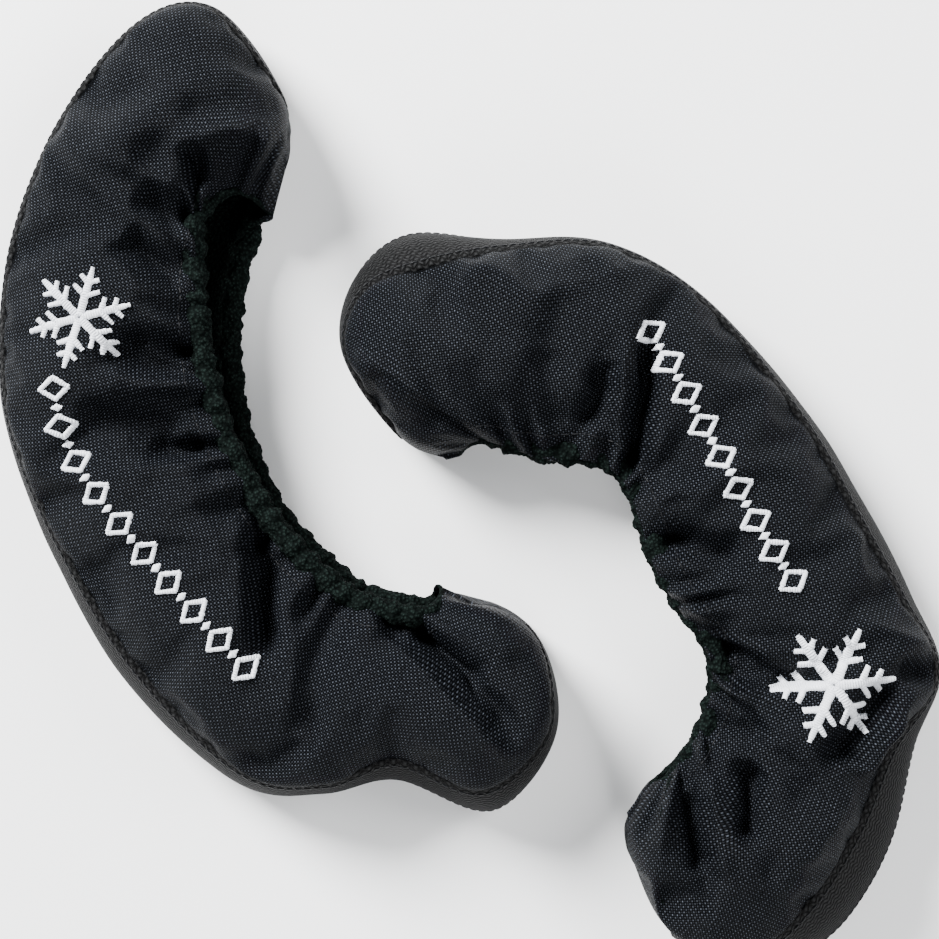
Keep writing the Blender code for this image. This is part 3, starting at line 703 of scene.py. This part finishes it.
def make_strip(name, guard, skin, flat):
    """The webbing over the skin's outer edge, with rounded edges."""
    first, last = UPPER_ROWS * 2 - 1, (UPPER_ROWS + STRIP_ROWS) * 2 + 2
    start, stop = int(guard["strip_from"] * PER_SPOKE) * 2, -int(0.9 * PER_SPOKE) * 2
    part = skin[start:stop, first:last]
    normal = normals_of(skin)[start:stop, first:last]
    rows = part.shape[1]
    edge = np.minimum(np.arange(rows), np.arange(rows)[::-1])
    lift = np.interp(edge, (0, 1, 2, 4), (-0.9, 0.0, 0.35, 0.5))
    waves = np.array([[noise.noise(Vector(p * 0.05)) for p in row] for row in part])
    grid = part + normal * (lift[None, :, None] + 0.25 * waves[:, :, None])
    places = flat[start:stop, first:last].copy()
    around = flat[start:stop, (UPPER_ROWS + 4) * 2, 0]  # a column well inside the strip
    places[:, :, 0] = around[:, None]
    widths = np.linalg.norm(np.diff(grid, axis=1), axis=2)
    places[:, :, 1] = np.concatenate([np.zeros((len(grid), 1)), np.cumsum(widths, axis=1)], axis=1)
    piece = new_object(name, mesh_of(name, grid, places))
    return solid_sheet(piece, WEBBING, 0.0), grid


def stitches(name, line, normal, stitch):
    """A line of topstitching: short raised threads, each going down into the cloth at its ends."""
    pitch, length, radius = stitch
    lengths = measured(line)
    sides = 6
    points, faces = [], []
    for start in np.arange(pitch / 2, lengths[-1] - length, pitch):
        places = start + np.array([0, 0.12, 0.5, 0.88, 1]) * length
        centre = np.stack([np.interp(places, lengths, line[:, k]) for k in range(3)], axis=1)
        up = np.stack([np.interp(places, lengths, normal[:, k]) for k in range(3)], axis=1)
        up /= np.linalg.norm(up, axis=1, keepdims=True)
        centre += up * (np.array([-0.5, 0.1, 0.3, 0.1, -0.5]) * radius)[:, None]
        along = centre[-1] - centre[0]
        along /= np.linalg.norm(along)
        first = len(points)
        for middle, high in zip(centre, up):
            level = np.cross(along, high)
            for k in range(sides):
                angle = 2 * math.pi * k / sides
                points.append(middle + radius * (math.cos(angle) * level + math.sin(angle) * high))
        rings = len(places) - 1
        for i in range(rings):
            ring = first + i * sides
            for k in range(sides):
                n = (k + 1) % sides
                faces.append((ring + k, ring + n, ring + sides + n, ring + sides + k))
        faces.append(tuple(first + k for k in reversed(range(sides))))
        faces.append(tuple(first + rings * sides + k for k in range(sides)))
    mesh = bpy.data.meshes.new(name)
    mesh.from_pydata([tuple(p * MM) for p in points], [], faces)
    mesh.shade_smooth()
    return new_object(name, mesh)


def mouth_line(guard, spokes):
    """The middle of the cuff, once round the mouth, with the direction to the outer edge and its fullness."""
    line, sides, full = [], [], []
    for sign, ordered in ((1, spokes), (-1, spokes[::-1])):
        for spoke in ordered:
            sink = guard["cuff_down"] * spoke.fullness if sign == 1 else 0.0
            line.append((*spoke.lip[sign], spoke.lip_height[sign] - sink))
            sides.append((*across(spoke.tangent), 0.0))
            full.append(spoke.fullness)
    rows = np.hstack([np.array(line), np.array(sides), np.array(full)[:, None]])
    whole, length = evenly(np.vstack([rows, rows[:1]]), 900)
    whole = whole[:-1]
    for _ in range(12):
        whole = (np.roll(whole, 1, axis=0) + 2 * whole + np.roll(whole, -1, axis=0)) / 4
    return whole[:, :3], whole[:, 3:6], whole[:, 6], length


def make_cuff(name, guard, spokes):
    """A puffy roll of gathered terry round the mouth, with its loops as small lumps."""
    line, sides, fullness, length = mouth_line(guard, spokes)
    along = np.roll(line, -1, axis=0) - np.roll(line, 1, axis=0)
    along /= np.linalg.norm(along, axis=1, keepdims=True)
    sides = sides - (sides * along).sum(axis=1, keepdims=True) * along
    sides /= np.linalg.norm(sides, axis=1, keepdims=True)
    ups = np.cross(sides, along)
    around = 40
    grid = np.zeros((len(line), around, 3))
    step = length / len(line)
    for i, (centre, side, up, full) in enumerate(zip(line, sides, ups, fullness)):
        place = i * step
        beat = place / 8.5 + 0.8 * noise.noise(Vector((place / 12, guard["seed"], 3)))
        pucker = 0.5 + 0.5 * math.sin(2 * math.pi * beat)
        for k in range(around):
            angle = 2 * math.pi * k / around
            out = math.cos(angle) * side + math.sin(angle) * up
            here = centre + CUFF_RADIUS * out
            clump = noise.noise(Vector(here * 0.30) + Vector((0, 0, 7.0)))
            loop = noise.noise(Vector(here * 0.85)) + 0.4 * (noise.cell_vector(Vector(here * 0.8)).x - 0.5)
            radius = CUFF_RADIUS + 0.9 * pucker - 0.5 + 0.9 * clump + 0.6 * loop
            grid[i, k] = centre + full * radius * out
    grid[:, :, 2] = np.maximum(grid[:, :, 2], 0.3)
    return new_object(name, mesh_of(name, grid, closed=(True, True)))


def make_lining(name, skin):
    """The terry lining inside the skin, from lip to lip."""
    inside = skin - normals_of(skin) * LINING_IN
    inside = smooth_grid(inside[PER_SPOKE * 2:-PER_SPOKE * 2:2, 2:-2:2].copy(), 6)
    rough = normals_of(inside)
    lumps = np.array([[noise.noise(Vector(p * 0.45)) for p in row] for row in inside])
    inside = inside + rough * 0.5 * lumps[:, :, None]
    around = skin[PER_SPOKE * 2:-PER_SPOKE * 2:2, 2:-2:2, 2]
    over = normals_of(skin)[PER_SPOKE * 2:-PER_SPOKE * 2:2, 2:-2:2, 2]
    inside[:, :, 2] = np.where(over > 0.2, np.minimum(inside[:, :, 2], around - LINING_IN), inside[:, :, 2])
    inside[:, :, 2] = np.maximum(inside[:, :, 2], FLOOR + 1.2)
    return solid_sheet(new_object(name, mesh_of(name, inside)), 1.6, -1.0)


class Embroiderer:
    """Lays satin stitch on the skin: each stroke is a low dome ribbed by its threads."""

    THREAD = 0.8
    HEIGHT = 0.9

    def __init__(self, skin):
        rows = (UPPER_ROWS - 1) * 2
        part = skin[:, :rows]
        index = np.arange(part.shape[0] * rows).reshape(part.shape[0], rows)
        quads = np.stack([index[:-1, :-1], index[:-1, 1:], index[1:, 1:], index[1:, :-1]], axis=-1)
        corners = [Vector(p) for p in part.reshape(-1, 3)]
        self.surface = BVHTree.FromPolygons(corners, quads.reshape(-1, 4).tolist())
        self.points, self.faces = [], []

    def drop(self, x, y):
        """The place on the skin under (x, y), and its upward direction."""
        hit, normal, _, _ = self.surface.ray_cast(Vector((x, y, 90)), Vector((0, 0, -1)))
        if hit is None:
            hit, normal, _, _ = self.surface.find_nearest(Vector((x, y, 40)))
            hit = Vector((x, y, hit.z))
        return hit, normal if normal.z > 0 else -normal

    def stroke(self, line, widths):
        """A stroke along a line, its half widths given at each of its points."""
        steps_per_thread, columns = 6, 9
        data = np.hstack([np.array(line, float), np.array(widths, float)[:, None]])
        length = np.linalg.norm(np.diff(data[:, :2], axis=0), axis=1).sum()
        count = max(8, int(length / self.THREAD * steps_per_thread))
        even, _ = evenly(data, count)
        along = np.gradient(even[:, :2], axis=0)
        along /= np.linalg.norm(along, axis=1, keepdims=True)
        first = len(self.points)
        for i, (place, direction) in enumerate(zip(even, along)):
            level = np.array((-direction[1], direction[0]))
            rib = abs(math.sin(math.pi * i / steps_per_thread))
            jitter = 0.34 * noise.noise(Vector((math.floor(i / steps_per_thread) * 1.7, first * 0.01, 0)))
            for k in range(columns):
                share = 2 * k / (columns - 1) - 1
                x, y = place[:2] + level * (place[2] + jitter) * share
                hit, normal = self.drop(x, y)
                dome = (1 - abs(share) ** 3.0) * self.HEIGHT
                rise = dome * (0.5 + 0.5 * rib) - (0.35 if abs(share) > 0.99 else -0.08)
                self.points.append(tuple((hit + normal * rise) * MM))
        for i in range(count - 1):
            for k in range(columns - 1):
                a = first + i * columns + k
                self.faces.append((a, a + columns, a + columns + 1, a + 1))

    def finish(self, name):
        mesh = bpy.data.meshes.new(name)
        mesh.from_pydata(self.points, [], self.faces)
        mesh.shade_smooth()
        self.points, self.faces = [], []
        return new_object(name, mesh)


def embroider_emblem(name, needle, emblem):
    """A plain snowflake with six arms, each with two pairs of side branches."""
    x, y, radius, turn = emblem
    centre = np.array((x, y))

    def way(angle):
        return np.array((math.cos(angle), math.sin(angle)))

    for arm in range(6):
        angle = turn + math.pi / 3 * arm
        needle.stroke([centre + way(angle) * radius * reach for reach in (0.06, 0.6, 1)],
                      (0.085 * radius, 0.085 * radius, 0.045 * radius))
        for reach, size in ((0.42, 0.30), (0.68, 0.22)):
            root = centre + way(angle) * radius * reach
            for side in (-1, 1):
                branch = way(angle + side * math.radians(58))
                needle.stroke((root + branch * 0.03 * radius, root + branch * size * radius),
                              (0.06 * radius, 0.045 * radius))
    ring = [centre + radius * 0.07 * way(angle) for angle in np.linspace(0, 2 * math.pi, 13)]
    needle.stroke(ring, [0.06 * radius] * len(ring))
    return needle.finish(name)


def embroider_row(name, needle, row, marks):
    """A row of open diamonds with small solid ones between them."""
    long_half, short_half = 4.9, 3.5
    curve = np.array([on_curve(np.array(row, float), at)[0] for at in np.linspace(0, len(row) - 1, 200)])
    line, _ = evenly(curve, 400)
    last = len(line) - 1
    for mark in range(marks):
        i = int((mark + 0.5) / marks * last)
        along = line[min(i + 2, last)] - line[max(i - 2, 0)]
        along /= np.linalg.norm(along)
        level = np.array((-along[1], along[0]))
        tips = (level * long_half, along * short_half, -level * long_half, -along * short_half)
        corners = [line[i] + tip for tip in tips]
        for a, b in zip(corners, corners[1:] + corners[:1]):
            inwards = (b - a) / np.linalg.norm(b - a) * 0.3
            needle.stroke((a - inwards, b + inwards), (0.85, 0.85))
        if mark + 1 < marks:
            j = int((mark + 1) / marks * last)
            needle.stroke((line[j] - level * 1.9, line[j], line[j] + level * 1.9), (0.2, 1.5, 0.2))
    return needle.finish(name)


def add_guard(name, guard, materials):
    """Makes every visible piece of one guard, set over its own joint's axis."""
    guard["points"] = np.array(guard["spokes"], float)
    guard["last"] = float(len(guard["points"]) - 1)
    guard["seed"] = 3.7 if name == "guard_a" else 11.3
    joint = next(j for j in frame["joints"] if j["name"] == f"{name}_straighten")
    bend = Spoke(guard, guard["bend_at"])
    inward = bend.along(1)
    shift = np.array(joint["pos_m"][:2]) / MM - (bend.outer - inward * HINGE_OUT)
    shift = np.round(shift, 2)
    guard["points"][:, 0:2] += shift
    guard["points"][:, 2:4] += shift

    def moved(line):
        return [(x + shift[0], y + shift[1]) for x, y in line]

    guard["folds"] = [(moved(line), height, width) for line, height, width in guard["folds"]]

    grid, flat, held, spokes = build_skin(guard)
    grid = wrinkle(grid, held)
    grid = smooth_grid(grid, 1)
    grid[:, :, 2] = np.maximum(grid[:, :, 2], FLOOR)
    skin, cloth = refine(grid), refine(flat)

    panel = new_object(f"{name}_panels", mesh_of(f"{name}_panels", skin, cloth))
    solid_sheet(panel, SKIN, -1.0)
    strip, over_strip = make_strip(f"{name}_wear_strip", guard, skin, cloth)
    cuff = make_cuff(f"{name}_cuff", guard, spokes)
    lining = make_lining(f"{name}_lining", skin)
    normal = normals_of(skin)
    seams = []
    for layer, column in (("upper", 3), ("lower", -4)):
        line, out = over_strip[:, column], normals_of(over_strip)[:, column]
        line = line + out * (WEBBING / 2 + 0.05)
        seams.append((stitches(f"{name}_strip_stitch_{layer}", line, out, STRIP_STITCH), layer))
    hemmed = slice(PER_SPOKE * 4, -PER_SPOKE * 4)
    hem = stitches(f"{name}_hem_stitch", skin[hemmed, HEM_ROW], normal[hemmed, HEM_ROW], HEM_STITCH)
    needle = Embroiderer(skin)
    emblem_place = (*moved([guard["emblem"][:2]])[0], *guard["emblem"][2:])
    emblem = embroider_emblem(f"{name}_emblem_stitching", needle, emblem_place)
    row = embroider_row(f"{name}_row_stitching", needle, moved(guard["row"]), guard["marks"])

    forward = Vector((inward[1], -inward[0], 0)) * BEND_REACH * MM
    heelward = Vector((*(guard["points"][-1][:2] - guard["points"][0][:2]), 0))
    if forward.dot(heelward) < 0:
        forward.negate()

    def dress(piece, material, slot, *nodes):
        piece.data.materials.clear()
        piece.data.materials.append(materials[material])
        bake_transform(piece)
        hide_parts(*[f"{name}_{node}" for node in nodes])

    def halves(*nodes):
        return [f"{node}_{half}" for node in nodes for half in ("toe", "heel")]

    dress(panel, f"{name}_nylon", "panel", *halves("upper_panel", "lower_panel"))
    dress(strip, "webbing", "webbing", *halves("wear_strip"))
    dress(cuff, "cuff", "terry", *halves("upper_cuff", "lower_cuff", "elastic"))
    dress(lining, "lining", "terry", *halves("lining"))
    dress(emblem, "satin", "embroidery", "emblem")
    dress(row, "satin", "embroidery", *halves("stitched_row"))
    for piece, layer in seams:
        dress(piece, "topstitch", "topstitch", *halves(f"strip_stitch_{layer}"))
    dress(hem, "topstitch", "topstitch", *halves("hem_stitch"))

    def size(points):
        """Width, length and area of the flat cloth of a grid, in metres."""
        du = np.linalg.norm(np.diff(points, axis=0), axis=2)
        dv = np.linalg.norm(np.diff(points, axis=1), axis=2)
        cells = np.cross(np.diff(points, axis=0)[:, :-1], np.diff(points, axis=1)[:-1])
        area = np.linalg.norm(cells, axis=2).sum() * MM * MM
        width, length = dv.sum(axis=1).max() * MM, du.sum(axis=0).max() * MM
        return (round(width, 3), round(length, 3)), round(area, 4)


def add_light(name, place, aim, size, power):
    data = bpy.data.lights.new(name, "AREA")
    data.shape = "DISK"
    data.size = size
    data.energy = power
    lamp = bpy.data.objects.new(name, data)
    lamp.location = place
    lamp.rotation_euler = (Vector(aim) - Vector(place)).to_track_quat("-Z", "Y").to_euler()
    bpy.context.scene.collection.objects.link(lamp)


def add_studio():
    """A pale floor, soft light from all round, and the camera straight above."""
    bpy.ops.mesh.primitive_plane_add(size=6, location=(0, 0, -0.0002))
    floor = bpy.context.object
    floor.name = "floor"
    floor.data.materials.append(pale_floor("floor"))
    world = bpy.context.scene.world or bpy.data.worlds.new("studio")
    bpy.context.scene.world = world
    world.use_nodes = True
    world.node_tree.nodes["Background"].inputs["Color"].default_value = (0.93, 0.96, 1.0, 1)
    world.node_tree.nodes["Background"].inputs["Strength"].default_value = 0.36
    add_light("key", (-1.1, 1.1, 1.1), (0, 0, 0), 0.8, 205)
    add_light("fill", (1.3, 0.5, 1.1), (0, 0, 0), 1.2, 34)
    add_light("low", (0.2, -1.4, 1.1), (0, 0, 0), 1.2, 30)

    reach, across_view, silhouette = 0.85, 0.313, 0.02
    camera = bpy.data.cameras.new("camera")
    camera.sensor_width = 36
    camera.lens = 36 * (reach - silhouette) / across_view
    looking = bpy.data.objects.new("camera", camera)
    looking.location = (-0.0006, 0.0059, reach)
    bpy.context.scene.collection.objects.link(looking)
    bpy.context.scene.camera = looking


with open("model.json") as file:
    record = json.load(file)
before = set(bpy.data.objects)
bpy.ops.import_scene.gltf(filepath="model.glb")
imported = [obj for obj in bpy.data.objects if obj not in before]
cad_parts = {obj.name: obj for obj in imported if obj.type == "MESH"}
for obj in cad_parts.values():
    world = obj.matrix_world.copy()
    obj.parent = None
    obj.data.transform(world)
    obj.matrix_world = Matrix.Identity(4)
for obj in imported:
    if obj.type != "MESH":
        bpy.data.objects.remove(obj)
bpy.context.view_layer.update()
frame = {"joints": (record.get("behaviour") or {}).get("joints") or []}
add_studio()
shared = {
    "guard_a_nylon": woven_nylon("woven_nylon_a", GUARDS["guard_a"]["grain"]),
    "guard_b_nylon": woven_nylon("woven_nylon_b", GUARDS["guard_b"]["grain"]),
    "webbing": ribbed_webbing("ribbed_webbing"),
    "cuff": terry("terry_cuff"),
    # The lining is painted darker than the cuff, as shade inside the mouth.
    "lining": terry("terry_lining", 0.8),
    "satin": satin_thread("satin_thread"),
    "topstitch": dark_thread("topstitch_thread"),
}
for guard_name, guard_spec in GUARDS.items():
    add_guard(guard_name, guard_spec, shared)
